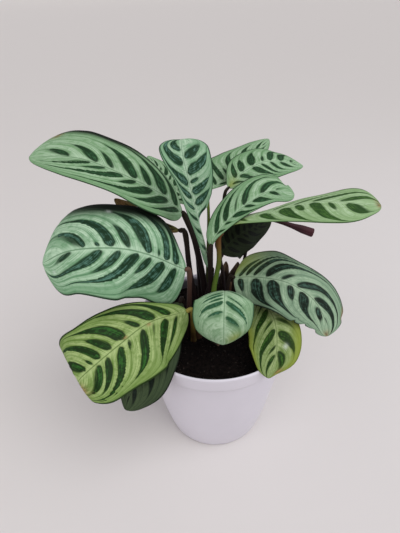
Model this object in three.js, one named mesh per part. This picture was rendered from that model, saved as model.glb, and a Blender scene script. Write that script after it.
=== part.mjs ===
// Potted prayer plant (fishbone calathea) in a white tapered pot.
// Units are millimetres; +Z is up; the origin is the middle of the pot's flat base,
// -Y is the side seen from the front.  One mesh is one separate piece.
import * as THREE from "three";
import { mergeVertices } from "three/addons/utils/BufferGeometryUtils.js";

// ---- pot and soil ----
const RIM_RADIUS = 75;
const RIM_HEIGHT = 133;
const BAND_HEIGHT = 17;
const BASE_RADIUS = 44;
const WALL = 2.6;
const FLOOR = 4;
const SOIL_LEVEL = 121;
const TOUCH_GAP = 0.3;
const LATHE_SIDES = 48;
// Radius of the soil at heights up the inside of the pot, foot to lip.
const SOIL_SIDE = [[41, 4], [45, 5.6], [46.9, 9], [52.1, 27], [57.9, 60], [64, 96], [67.4, 115], [70.4, 119]];
const SOIL_TOP_RADIUS = 70.8;

// ---- leaves and stalks ----
const BLADE_THICKNESS = 0.9;
const DRIP_TIP_HALF_WIDTH = 3;
const EDGE_HALF_WIDTH = 0.7;
const EDGE_WAVES = 2.5;
const BLADE_STATIONS = 12;
const BLADE_COLUMNS = 3;
const STALK_SIDES = 7;
const STALK_STATIONS = 9;

// rib: the midrib from base to tip.  face: where the upper side looks, base to tip.
// left, right: half widths from base to tip, at places that lie closer together at the ends.
// turn: degrees each half is raised towards the upper side, base to tip.
// curl: further degrees at the margin.  wave: height of the margin's wave.
const LEAVES = {
  leaf_upper_left: {
    rib: [[-26, 24, 232], [-43, 14, 256], [-84, 4, 284], [-108, 4, 291], [-138, 11, 289]],
    face: [[-0.2, -0.5, 0.85], [-0.3, -0.4, 0.9]],
    left: [14, 23, 21, 17, 8], right: [9, 26, 35, 34, 29],
    turn: [[25, 0], [8, 5]], curl: [-20, -34], wave: 1,
  },
  leaf_mid_left: {
    rib: [[-24, -11, 197], [-51, -28, 224], [-75, -35, 235], [-108, -34, 233], [-133, -28, 219]],
    face: [[-0.1, -0.8, 0.55], [-0.4, -0.6, 0.6]],
    left: [35, 36, 39, 33, 28], right: [13, 33, 41, 45, 41],
    turn: [[5, 0], [0, 0]], curl: [-25, -55], wave: 1,
  },
  leaf_lower_left: {
    rib: [[-24, -23, 162], [-53, -44, 170], [-76, -62, 164], [-103, -83, 152], [-106, -84, 145]],
    face: [[-0.1, -0.75, 0.65], [-0.1, -0.85, 0.5], [-0.3, -0.9, 0.3], [-0.7, -0.5, 0]],
    left: [17, 36, 38, 33, 27], right: [8, 14, 28, 32, 33],
    turn: [[8, 4], [-12, 0]], curl: [-12, -10], wave: 1,
  },
  leaf_lower_left_back: {
    rib: [[-31, -2, 155], [-49, -42, 145], [-67, -68, 128], [-77, -78, 104]],
    face: [[-0.1, -0.45, 0.9], [-0.2, -0.6, 0.7], [-0.3, -0.9, 0.3]],
    left: [8, 14, 24, 25, 13], right: [10, 20, 26, 20, 8],
    turn: [[12, 4], [0, 0]], curl: [-20, -20], wave: 1,
  },
  leaf_centre_upright: {
    rib: [[-2, 8, 184], [-8, 0, 220], [-14, -8, 251], [-19, -12, 279], [-22, -8, 294], [-23, 4, 301]],
    face: [[0.3, -0.9, 0.3], [-0.1, -0.9, 0.4]],
    left: [4.5, 5.5, 7, 9.5, 14], right: [3, 5, 12, 19, 15.5],
    turn: [[-20, -20, -15, 0, 0, 0], [-130, -130, -130, -130, -110, -20, 0, 0, 0, 0, 0]], curl: [0, -20], wave: 1,
  },
  leaf_upper_right_back: {
    rib: [[0, 48, 243], [18, 66, 247], [38, 90, 256], [60, 113, 266]],
    face: [[0.3, -0.6, 0.7], [0.3, -0.5, 0.8]],
    left: [16, 30, 25, 17, 8], right: [2, 5, 11, 11, 6],
    turn: [[-5, -20], [0, 0]], curl: [-20, -20], wave: 1,
  },
  leaf_upper_right: {
    rib: [[15, 40, 247], [28, 52, 256], [49, 66, 260], [70, 78, 255], [91, 90, 246]],
    face: [[0.1, -0.6, 0.8], [0.4, -0.4, 0.8]],
    left: [7, 18, 17, 13, 6], right: [6, 14, 17, 12, 5],
    turn: [[0, 0], [0, 0]], curl: [-20, -20], wave: 1,
  },
  leaf_centre_right: {
    rib: [[-2, -1, 214], [2, 2, 222], [14, 10, 233], [30, 19, 242], [50, 31, 247], [73, 41, 239]],
    face: [[-0.1, -0.8, 0.6], [0.2, -0.7, 0.7]],
    left: [8, 15, 19, 18, 12], right: [3, 7, 10, 12, 8],
    turn: [[-5, -5], [50, 20]], curl: [-20, -20], wave: 1,
  },
  leaf_right_long: {
    rib: [[7, 9, 219], [17, 10, 230], [43, 5, 240], [74, 0, 250], [101, -3, 251], [131, -3, 247]],
    face: [[-0.1, -0.3, 0.9], [0.2, -0.3, 0.9]],
    left: [10, 15, 11, 20, 21], right: [3, 9, 20, 24, 11],
    turn: [[-35, -32, -25, -12, 0], [20, 10]], curl: [-10, -20], wave: 1,
  },
  leaf_right_shaded: {
    rib: [[9, 22, 190], [14, 27, 196], [32, 40, 203], [58, 58, 203]],
    face: [[0, -0.7, 0.7], [0.1, -0.7, 0.7]],
    left: [10, 17, 18, 13, 6], right: [15, 16, 16, 11, 5],
    turn: [[0, 0], [0, 0]], curl: [-20, -20], wave: 1,
  },
  leaf_right_lower: {
    rib: [[18, 3, 177], [33, -6, 184], [56, -26, 193], [76, -35, 184], [86, -44, 171], [89, -52, 156]],
    face: [[0, -0.6, 0.8], [0, -0.7, 0.7], [0.2, -0.95, 0.3]],
    left: [19, 28, 21, 21, 15], right: [22, 24, 26, 25, 12],
    turn: [[0, 0], [0, 0]], curl: [-20, -20], wave: 1,
  },
  leaf_front_centre: {
    rib: [[9, -20, 176], [7, -36, 193], [6, -48, 196], [5, -57, 182], [5, -58, 167], [5, -55, 153]],
    face: [[0, 0.6, 0.8], [0, -0.1, 1], [0, -0.95, 0.1], [0, -1, 0]],
    left: [14, 22, 26, 25, 14], right: [14, 22, 26, 25, 14],
    turn: [[0, 0], [0, 0]], curl: [-40, -40], wave: 0.5,
  },
  leaf_front_right: {
    rib: [[39, -8, 160], [45, -24, 164], [49, -40, 160], [48, -58, 146], [40, -71, 130]],
    face: [[-0.1, -0.5, 0.85], [-0.2, -0.8, 0.6], [-0.2, -0.95, 0.1]],
    left: [7, 14, 20, 18, 6], right: [17, 24, 24, 22, 12],
    turn: [[-6, 0], [0, 0]], curl: [-20, -20], wave: 1,
  },
  leaf_back_left: {
    rib: [[-20, 35, 235], [-38, 55, 250], [-58, 85, 262]],
    face: [[0, -0.5, 0.8], [0, -0.5, 0.8]],
    left: [5, 12, 15, 12, 6], right: [5, 11, 12, 9, 4],
    turn: [[0, 0], [0, 0]], curl: [-20, -20], wave: 1,
  },
  leaf_left_back: {
    rib: [[-29, 22, 216], [-55, 30, 225], [-86, 42, 239]],
    face: [[0, -0.5, 0.8], [0, -0.5, 0.8]],
    left: [4, 8, 9, 8, 4], right: [2, 3, 3, 5, 3],
    turn: [[0, 0], [0, 0]], curl: [-20, -20], wave: 1,
  },
};

// Leaf stalks: where each leaves the soil and the points it passes on the way to its blade.
const STALKS = {
  upper_left: { foot: [-5, 10], way: [[-7, 10, 150], [-10, 11, 175], [-13, 12, 195], [-17, 17, 213]], radii: [3.4, 2.3] },
  mid_left: { foot: [-23, -9], way: [[-23.5, -10, 145], [-22, -9, 170]], radii: [2.4, 2] },
  lower_left: { foot: [-20, -16], way: [[-20, -18, 145]], radii: [2.2, 1.8] },
  lower_left_back: { foot: [-24, -2], way: [[-27, -1, 140]], radii: [1.8, 1.5] },
  centre_upright: { foot: [-10, 2], way: [[-8, 4, 150]], radii: [2.1, 1.6] },
  upper_right_back: { foot: [-5, 21], way: [[-5, 25, 165], [-3, 34, 222]], radii: [1.8, 1.2] },
  upper_right: { foot: [0, 30], way: [[-1, 34, 170], [1, 37, 205], [9, 37, 228]], radii: [1.8, 1.2] },
  centre_right: { foot: [-5, -2], way: [[-4, 0, 150], [-3.5, 0, 171], [-3.5, -3, 195]], radii: [2.3, 1.7] },
  right_long: { foot: [1, -5], way: [[0, -5, 150], [0, -2, 170], [4.5, 3, 195]], radii: [2.5, 2] },
  right_shaded: { foot: [10, 8], way: [[10, 11, 150], [9, 15, 173]], radii: [1.8, 1.5] },
  right_lower: { foot: [8, 1], way: [[11, 4, 150]], radii: [1.8, 1.4] },
  front_centre: { foot: [2, -12], way: [[5, -14, 145]], radii: [1.7, 1.3] },
  front_right: { foot: [12, -5], way: [[18, -6, 142]], radii: [1.7, 1.3] },
  back_left: { foot: [-12, 16], way: [[-14, 21, 180], [-16, 28, 215]], radii: [1.7, 1.2] },
  left_back: { foot: [-15, 7], way: [[-17, 7, 150], [-20, 7, 170], [-22, 11, 190]], radii: [2.8, 2.2] },
};
const PULVINUS = 6;
const BLADE_GAP = 1.1;

// A new leaf still rolled up, on its own stalk.
const ROLLED_LEAF = {
  points: [[61, 66, 200.5], [72, 66, 197], [86, 65, 192], [102, 64, 186]], radii: [1.6, 2, 2.6, 4, 4.4],
};
const ROLLED_STALK = { foot: [22, 13], way: [[27, 22, 160], [35, 48, 184], [47, 66, 197]], radii: [1.8, 1.4] };

// Old growth at the foot of the plant.
const OLD_STALK = { foot: [14, 19], way: [[15, 20, 140]], end: [17, 22, 158], radii: [1.8, 1.3] };
const OLD_STUMP = { points: [[-15, -12, SOIL_LEVEL + TOUCH_GAP], [-14.7, -12.3, 126], [-14, -13, 131]], radii: [3.4, 2.6] };
const DRY_PIECES = {
  sheath_dry: {
    rib: [[-4, -20, 122], [-1, -23, 125], [4, -25, 123]],
    face: [[0, -0.6, 0.8], [0.3, -0.6, 0.8]],
    left: [1.2, 2, 2.2, 2, 1.2], right: [1.2, 2, 2.2, 2, 1.2],
    turn: [[20, 20], [20, 20]], curl: [30, 30], wave: 0,
  },
  bract_left: {
    rib: [[9, 24, 121.6], [10, 28, 150], [13, 31, 176]],
    face: [[0, -1, 0.1], [0, -1, 0.2]],
    left: [4, 6, 6, 5, 3], right: [4, 6, 6, 5, 3],
    turn: [[10, 10], [10, 10]], curl: [40, 40], wave: 1,
  },
  bract_right: {
    rib: [[19, 30, 121.6], [21, 34, 148], [25, 37, 171]],
    face: [[0, -1, 0.1], [0, -1, 0.2]],
    left: [5, 7, 8, 7, 3], right: [4, 6, 7, 5, 3],
    turn: [[5, 5], [5, 5]], curl: [30, 40], wave: 1.5,
  },
};

const COLOURS = {
  pot: [0xe9e6ea, 0.35],
  soil: [0x120d0a, 0.95],
  green: [0x7fa889, 0.5],
  lime: [0x8fae4e, 0.5],
  shade: [0x33442f, 0.6],
  maroon: [0x3a2026, 0.55],
  stem: [0x5c7a2c, 0.55],
  dry: [0x7a5a38, 0.85],
};

function material(key) {
  const [color, roughness] = COLOURS[key];
  return new THREE.MeshStandardMaterial({ color, roughness, metalness: 0, side: THREE.FrontSide });
}

function vector([x, y, z]) {
  return new THREE.Vector3(x, y, z);
}

// A smooth run from b to c, with a before and d after.
function spline(a, b, c, d, t) {
  return 0.5 * (2 * b + (c - a) * t + (2 * a - 5 * b + 4 * c - d) * t * t + (3 * b - a - 3 * c + d) * t * t * t);
}

// A smooth path through the points, walked by its length.
function path(points) {
  const first = points[0].clone().multiplyScalar(2).sub(points[1]);
  const last = points.at(-1).clone().multiplyScalar(2).sub(points.at(-2));
  const all = [first, ...points, last];
  const dense = [];
  const stepsPerSpan = 24;
  for (let i = 0; i < points.length - 1; i += 1) {
    const [a, b, c, d] = all.slice(i, i + 4);
    for (let k = 0; k < stepsPerSpan; k += 1) {
      const t = k / stepsPerSpan;
      dense.push(new THREE.Vector3(...["x", "y", "z"].map((axis) => spline(a[axis], b[axis], c[axis], d[axis], t))));
    }
  }
  dense.push(points.at(-1).clone());
  const lengths = [0];
  for (let i = 1; i < dense.length; i += 1) {
    lengths.push(lengths[i - 1] + dense[i].distanceTo(dense[i - 1]));
  }
  const total = lengths.at(-1);
  const at = (u) => {
    const s = THREE.MathUtils.clamp(u, 0, 1) * total;
    let i = 1;
    while (i < dense.length - 1 && lengths[i] < s) i += 1;
    return dense[i - 1].clone().lerp(dense[i], (s - lengths[i - 1]) / (lengths[i] - lengths[i - 1]));
  };
  const tangent = (u) => at(u + 0.03).sub(at(u - 0.03)).normalize();
  return { at, tangent, total };
}

// Values spread evenly from base to tip, read in between.
function steps(values, u) {
  const place = u * (values.length - 1);
  const i = Math.min(Math.floor(place), values.length - 2);
  return values[i] + (values[i + 1] - values[i]) * (place - i);
}

// The half width at u along the midrib; both ends close in a round.
function halfWidth(widths, u) {
  const values = [-widths[0], 0, ...widths, 0, -widths.at(-1)];
  const place = Math.acos(1 - 2 * u) / Math.PI * (widths.length + 1);
  const i = Math.min(Math.floor(place), widths.length);
  const main = spline(...values.slice(i, i + 4), place - i);
  const tip = u > 0.5 ? DRIP_TIP_HALF_WIDTH * Math.min((1 - u) / 0.08, 1) : 0;
  return Math.max(main, tip, EDGE_HALF_WIDTH);
}

// The middle surface of a blade at u along the midrib and v across, -1 to 1.
function bladePoint(leaf, rib, u, v) {
  const along = rib.tangent(u);
  const looks = leaf.face.map((f) => vector(f).normalize());
  const up = new THREE.Vector3(...["x", "y", "z"].map((axis) => steps(looks.map((f) => f[axis]), u)));
  up.addScaledVector(along, -up.dot(along)).normalize();
  const across = new THREE.Vector3().crossVectors(along, up);
  const half = v > 0 ? 1 : 0;
  const reach = Math.abs(v) * halfWidth(half ? leaf.right : leaf.left, u);
  const angle = THREE.MathUtils.degToRad(steps(leaf.turn[half], u) + leaf.curl[half] * Math.abs(v) / 2);
  const wave = leaf.wave * Math.sin(2 * Math.PI * (EDGE_WAVES * u + 0.25 * half)) * v * v * Math.sin(Math.PI * u);
  return rib.at(u)
    .addScaledVector(across, Math.sign(v) * reach * Math.cos(angle))
    .addScaledVector(up, reach * Math.sin(angle) + wave);
}

// A closed body from numbered corners and faces.
function body(corners, faces) {
  const geometry = new THREE.BufferGeometry();
  geometry.setAttribute("position", new THREE.Float32BufferAttribute(corners.flatMap((p) => [p.x, p.y, p.z]), 3));
  geometry.setIndex(faces.flat());
  geometry.computeVertexNormals();
  return geometry;
}

// A thin closed sheet over a grid of middle points; the upper side comes first.
function sheet(grid, thickness) {
  const rows = grid.length;
  const columns = grid[0].length;
  const upper = [];
  const lower = [];
  for (let i = 0; i < rows; i += 1) {
    for (let j = 0; j < columns; j += 1) {
      const along = grid[Math.min(i + 1, rows - 1)][j].clone().sub(grid[Math.max(i - 1, 0)][j]);
      const across = grid[i][Math.min(j + 1, columns - 1)].clone().sub(grid[i][Math.max(j - 1, 0)]);
      const out = across.cross(along).normalize();
      upper.push(grid[i][j].clone().addScaledVector(out, thickness / 2));
      lower.push(grid[i][j].clone().addScaledVector(out, -thickness / 2));
    }
  }
  const corners = [...upper, ...lower];
  const under = rows * columns;
  const faces = [];
  const quad = (a, b, c, d) => faces.push([a, b, c], [a, c, d]);
  for (let i = 0; i < rows - 1; i += 1) {
    for (let j = 0; j < columns - 1; j += 1) {
      const a = i * columns + j;
      quad(a, a + 1, a + columns + 1, a + columns);
      quad(under + a, under + a + columns, under + a + columns + 1, under + a + 1);
    }
  }
  for (let j = 0; j < columns - 1; j += 1) {
    const end = (rows - 1) * columns + j;
    quad(j, under + j, under + j + 1, j + 1);
    quad(end, end + 1, under + end + 1, under + end);
  }
  for (let i = 0; i < rows - 1; i += 1) {
    const left = i * columns;
    const right = left + columns - 1;
    quad(left, left + columns, under + left + columns, under + left);
    quad(right, under + right, under + right + columns, right + columns);
  }
  return body(corners, faces);
}

function blade(leaf) {
  const rib = path(leaf.rib.map(vector));
  const grid = [];
  for (let i = 0; i <= BLADE_STATIONS; i += 1) {
    const u = 0.5 - 0.5 * Math.cos(Math.PI * i / BLADE_STATIONS);
    const row = [];
    for (let j = -BLADE_COLUMNS; j <= BLADE_COLUMNS; j += 1) {
      row.push(bladePoint(leaf, rib, u, j / BLADE_COLUMNS));
    }
    grid.push(row);
  }
  return sheet(grid, BLADE_THICKNESS);
}

// A solid round rod along the points; a footed rod starts with a level end.
function rod(points, radii, footed, stations = STALK_STATIONS) {
  const line = path(points);
  const corners = [];
  const faces = [];
  const side = new THREE.Vector3(1, 0, 0);
  for (let i = 0; i <= stations; i += 1) {
    const u = i / stations;
    const along = footed && i === 0 ? new THREE.Vector3(0, 0, 1) : line.tangent(u);
    side.addScaledVector(along, -side.dot(along)).normalize();
    const other = new THREE.Vector3().crossVectors(along, side);
    for (let k = 0; k < STALK_SIDES; k += 1) {
      const turn = 2 * Math.PI * k / STALK_SIDES;
      corners.push(line.at(u)
        .addScaledVector(side, steps(radii, u) * Math.cos(turn))
        .addScaledVector(other, steps(radii, u) * Math.sin(turn)));
    }
  }
  for (let i = 0; i < stations; i += 1) {
    for (let k = 0; k < STALK_SIDES; k += 1) {
      const a = i * STALK_SIDES + k;
      const b = i * STALK_SIDES + (k + 1) % STALK_SIDES;
      faces.push([a, b, b + STALK_SIDES], [a, b + STALK_SIDES, a + STALK_SIDES]);
    }
  }
  for (let k = 1; k < STALK_SIDES - 1; k += 1) {
    const end = stations * STALK_SIDES;
    faces.push([0, k + 1, k], [end, end + k, end + k + 1]);
  }
  return body(corners, faces);
}

// The way points of a stalk from the soil to just short of `end`, arriving along `heading`.
function stalkPoints({ foot: [x, y], way }, end, heading) {
  const start = new THREE.Vector3(x, y, SOIL_LEVEL + TOUCH_GAP);
  return [
    start,
    start.clone().setZ(SOIL_LEVEL + 7),
    ...way.map(vector),
    end.clone().addScaledVector(heading, -PULVINUS),
    end.clone().addScaledVector(heading, -BLADE_GAP),
  ];
}

function leafStalk(stalk, leaf) {
  const rib = path(leaf.rib.map(vector));
  return rod(stalkPoints(stalk, rib.at(0), rib.tangent(0)), stalk.radii, true);
}

function lathe(profile) {
  const turned = new THREE.LatheGeometry(profile.map(([r, z]) => new THREE.Vector2(r, z)), LATHE_SIDES);
  turned.deleteAttribute("uv");
  turned.deleteAttribute("normal");
  const closed = mergeVertices(turned, 1e-4);
  closed.rotateX(Math.PI / 2);
  closed.computeVertexNormals();
  return closed;
}

// The pot: a tapered cup with a plain band under a rounded lip.
function pot() {
  const band = RIM_HEIGHT - BAND_HEIGHT;
  const outside = [
    [0, 0], [BASE_RADIUS, 0], [BASE_RADIUS + 3, 1], [BASE_RADIUS + 5.2, 3.6], [BASE_RADIUS + 6.4, 8],
    [55, 27], [60.8, 60], [67, 96], [70.2, band - 1],
    [72.2, band], [73, band + 2], [RIM_RADIUS - 0.2, RIM_HEIGHT - 3], [RIM_RADIUS, RIM_HEIGHT - 1.4],
    [RIM_RADIUS - 0.5, RIM_HEIGHT - 0.4], [RIM_RADIUS - 1.4, RIM_HEIGHT],
  ];
  const inside = [
    [RIM_RADIUS - 2, RIM_HEIGHT - 0.5], [RIM_RADIUS - WALL, RIM_HEIGHT - 2],
    ...SOIL_SIDE.map(([r, z]) => [r + TOUCH_GAP, z]).reverse(),
    [0, FLOOR],
  ];
  return lathe([...outside, ...inside]);
}

// The soil fills the pot to just under the lip, a hair's breadth clear of the wall.
function soil() {
  const side = SOIL_SIDE.map(([r, z]) => [r, Math.max(z, FLOOR + TOUCH_GAP)]).filter(([, z]) => z < SOIL_LEVEL - 1);
  return lathe([[0, FLOOR + TOUCH_GAP], ...side, [SOIL_TOP_RADIUS, SOIL_LEVEL], [0, SOIL_LEVEL]]);
}

const object = new THREE.Group();
object.name = "potted_calathea";

function add(name, geometry, key) {
  const mesh = new THREE.Mesh(geometry, material(key));
  mesh.name = name;
  object.add(mesh);
}

add("pot", pot(), "pot");
add("soil", soil(), "soil");
const tones = { lower_left: "lime", front_right: "lime", lower_left_back: "shade", right_shaded: "shade" };
for (const [name, stalk] of Object.entries(STALKS)) {
  const leaf = LEAVES[`leaf_${name}`];
  add(`leaf_${name}`, blade(leaf), tones[name] ?? "green");
  add(`stalk_${name}`, leafStalk(stalk, leaf), name === "right_long" ? "stem" : "maroon");
}
add("leaf_rolled", rod(ROLLED_LEAF.points.map(vector), ROLLED_LEAF.radii, false), "maroon");
const rolled = path(ROLLED_LEAF.points.map(vector));
add("stalk_rolled", rod(stalkPoints(ROLLED_STALK, rolled.at(0), rolled.tangent(0)), ROLLED_STALK.radii, true), "maroon");
const oldEnd = vector(OLD_STALK.end);
const oldHeading = oldEnd.clone().sub(vector(OLD_STALK.way.at(-1))).normalize();
add("stalk_old", rod(stalkPoints(OLD_STALK, oldEnd, oldHeading), OLD_STALK.radii, true), "dry");
add("stump_old", rod(OLD_STUMP.points.map(vector), OLD_STUMP.radii, true), "dry");
for (const [name, piece] of Object.entries(DRY_PIECES)) add(name, blade(piece), "dry");

export default object;
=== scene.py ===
"""A potted fishbone prayer plant: blades, stalks, soil and pot, made piece by piece.

The file is laid out as an add-on.  Sizes are in metres unless a name ends in _mm or _MM.
"""
import math

import bpy
import numpy as np
from mathutils import Matrix, Vector, noise


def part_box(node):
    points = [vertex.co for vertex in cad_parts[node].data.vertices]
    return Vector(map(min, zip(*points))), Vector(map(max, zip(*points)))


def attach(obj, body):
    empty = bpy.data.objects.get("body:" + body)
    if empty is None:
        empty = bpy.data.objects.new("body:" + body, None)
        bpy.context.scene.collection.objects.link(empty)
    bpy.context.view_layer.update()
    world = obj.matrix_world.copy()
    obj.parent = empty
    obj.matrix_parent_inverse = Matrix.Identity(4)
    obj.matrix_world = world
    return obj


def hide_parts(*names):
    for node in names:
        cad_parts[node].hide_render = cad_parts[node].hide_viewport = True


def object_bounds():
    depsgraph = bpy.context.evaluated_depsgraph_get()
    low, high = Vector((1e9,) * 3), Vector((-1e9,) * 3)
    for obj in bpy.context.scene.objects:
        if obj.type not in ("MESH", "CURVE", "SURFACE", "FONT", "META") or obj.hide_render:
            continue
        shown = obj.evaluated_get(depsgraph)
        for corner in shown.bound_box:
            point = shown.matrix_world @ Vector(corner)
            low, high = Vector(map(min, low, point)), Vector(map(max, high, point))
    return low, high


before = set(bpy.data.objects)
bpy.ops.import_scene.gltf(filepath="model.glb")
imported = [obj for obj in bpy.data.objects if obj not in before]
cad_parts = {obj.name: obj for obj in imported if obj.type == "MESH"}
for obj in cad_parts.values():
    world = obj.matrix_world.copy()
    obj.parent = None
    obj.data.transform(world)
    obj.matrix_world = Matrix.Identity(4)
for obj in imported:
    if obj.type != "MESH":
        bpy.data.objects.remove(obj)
CAD_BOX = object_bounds()

bl_info = {
    "name": "Potted prayer plant",
    "version": (1, 0, 0),
    "blender": (4, 5, 0),
    "location": "3D View > Sidebar > Plant",
    "description": "Makes a fishbone prayer plant in a white pot, piece by piece",
    "category": "Add Mesh",
}

BODY = "root"
MM = 0.001

# ---- blades ----
# rib: the midrib from base to tip, in millimetres.  face: where the upper side looks, base to tip.
# left, right: half widths from base to tip.  turn: degrees each half is raised, base to tip.
# curl: further degrees at the margin.  wave: height of the margin's wave.
# lobe: how far each half reaches back past the joint, in millimetres.  ear: the same, forward past the tip.
# nicks: for each half, worn places in its margin, as (place along the rib, depth, size), in percent.
# sweep: for each half, how far its side veins run forward, in percent, how late they turn to the tip,
# and how much of that run the veins at the base have, in percent.
# bands: the dark bands of each half, as (place along the rib, half width, reach along its vein), in percent.
# marks: (kind, place along, place across, size along, size across), in percent; across runs -100 to 100.
# A leaf that doesn't say has what USUAL_LEAF says.
USUAL_LEAF = dict(
    turn=[[0, 0], [0, 0]], curl=[-20, -20], wave=1, lobe=[0, 0], ear=[0, 0], nicks=[[], []], marks=[],
    sweep=[(9, 2.5, 50), (9, 2.5, 50)],
    bands=(
        [(8, 2, 55), (19, 3, 74), (28, 1.4, 36), (38, 3.2, 76), (49, 1.6, 40), (59, 3.2, 76), (70, 1.4, 36),
         (80, 2.8, 66)],
        [(13, 2.6, 66), (24, 1.4, 36), (33, 3.2, 76), (44, 1.6, 40), (54, 3.2, 76), (65, 1.4, 36),
         (75, 3, 70), (88, 1.8, 46)],
    ),
)
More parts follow.
